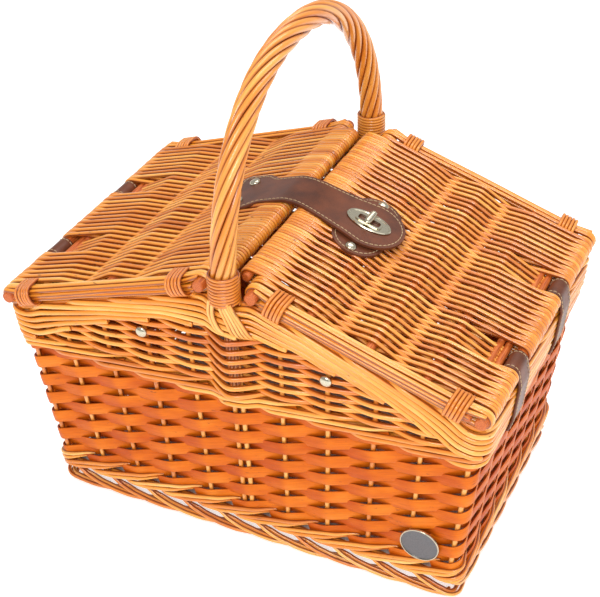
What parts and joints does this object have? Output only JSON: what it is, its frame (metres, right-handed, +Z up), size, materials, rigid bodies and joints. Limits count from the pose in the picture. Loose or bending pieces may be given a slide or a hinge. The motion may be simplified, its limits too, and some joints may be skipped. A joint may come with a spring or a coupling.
{
  "type": "wicker basket",
  "caption": "Rectangular willow picnic basket with a fixed arched handle and hinged lids that slope from the ridge, closed by a leather strap with a turn lock.",
  "frame": {"origin": "middle of the footprint, on the ground", "axes": "+X along the length, towards the lid with the lock; -Y is the front long side; +Z up"},
  "size_m": [0.4478, 0.323, 0.4522],
  "materials": {
    "willow": "lacquered round rods",
    "split_wood": "lacquered flat strips",
    "stick": "reddish cut ends",
    "board": "plain",
    "leather": "smooth, stitched",
    "nickel": "polished",
    "badge_metal": "satin"
  },
  "bodies": {
    "basket": {"base_floor": "board", "foot_border": "willow", "lower_wale": "willow", "wall_weave": "split_wood", "upper_wale": "willow", "gable_front": "willow", "gable_back": "willow", "rim_front": "willow", "rim_back": "willow", "rim_left": "willow", "rim_right": "willow", "handle_bow": "willow", "handle_binding_front": "willow", "handle_binding_back": "willow", "badge_plate": "badge_metal", "stud_front_left": "nickel", "stud_front_right": "nickel", "stud_back_left": "nickel", "stud_back_right": "nickel", "hinge_strap_left_front": "leather", "hinge_strap_left_back": "leather", "hinge_strap_right_front": "leather", "hinge_strap_right_back": "leather"},
    "left_lid": {"left_lid_weave": "willow", "left_lid_ridge_stick": "stick", "left_lid_end_stick": "stick", "left_lid_edge_stick": "stick", "left_lid_stake_1": "stick", "left_lid_stake_2": "stick", "left_lid_stake_3": "stick", "left_lid_front_rail": "willow", "left_lid_back_rail": "willow", "left_lid_front_ridge_lashing": "willow", "left_lid_front_end_lashing": "willow", "left_lid_back_ridge_lashing": "willow", "left_lid_back_end_lashing": "willow", "latch_strap_base": "leather", "latch_rivet_front": "nickel", "latch_rivet_back": "nickel"},
    "right_lid": {"right_lid_weave": "willow", "right_lid_ridge_stick": "stick", "right_lid_end_stick": "stick", "right_lid_edge_stick": "stick", "right_lid_stake_1": "stick", "right_lid_stake_2": "stick", "right_lid_stake_3": "stick", "right_lid_front_rail": "willow", "right_lid_back_rail": "willow", "right_lid_front_ridge_lashing": "willow", "right_lid_front_end_lashing": "willow", "right_lid_back_ridge_lashing": "willow", "right_lid_back_end_lashing": "willow", "latch_pad": "leather", "latch_pad_rivet_front": "nickel", "latch_pad_rivet_back": "nickel", "lock_post": "nickel"},
    "latch_tongue": {"latch_strap_tongue": "leather", "latch_slot_plate": "nickel"},
    "turn_knob": {"turn_knob": "nickel"}
  },
  "joints": [
    {"name": "left_lid_hinge", "type": "hinge", "parent": "basket", "child": "left_lid", "pos_m": [-0.214, 0, 0.2165], "axis": [0, -1, 0], "range_deg": [0, 165]},
    {"name": "right_lid_hinge", "type": "hinge", "parent": "basket", "child": "right_lid", "pos_m": [0.214, 0, 0.2165], "axis": [0, 1, 0], "range_deg": [0, 165]},
    {"name": "latch_tongue_flex", "type": "hinge", "parent": "left_lid", "child": "latch_tongue", "pos_m": [-0.01355, 0, 0.29278], "axis": [0, -1, 0], "range_deg": [0, 140], "deforming": ["latch_strap_tongue", "latch_slot_plate"]},
    {"name": "turn_knob_turn", "type": "hinge", "parent": "right_lid", "child": "turn_knob", "pos_m": [0.06433, -0.0075, 0.28449], "axis": [0.3155, 0, 0.9489], "range_deg": [0, 90]}
  ]
}
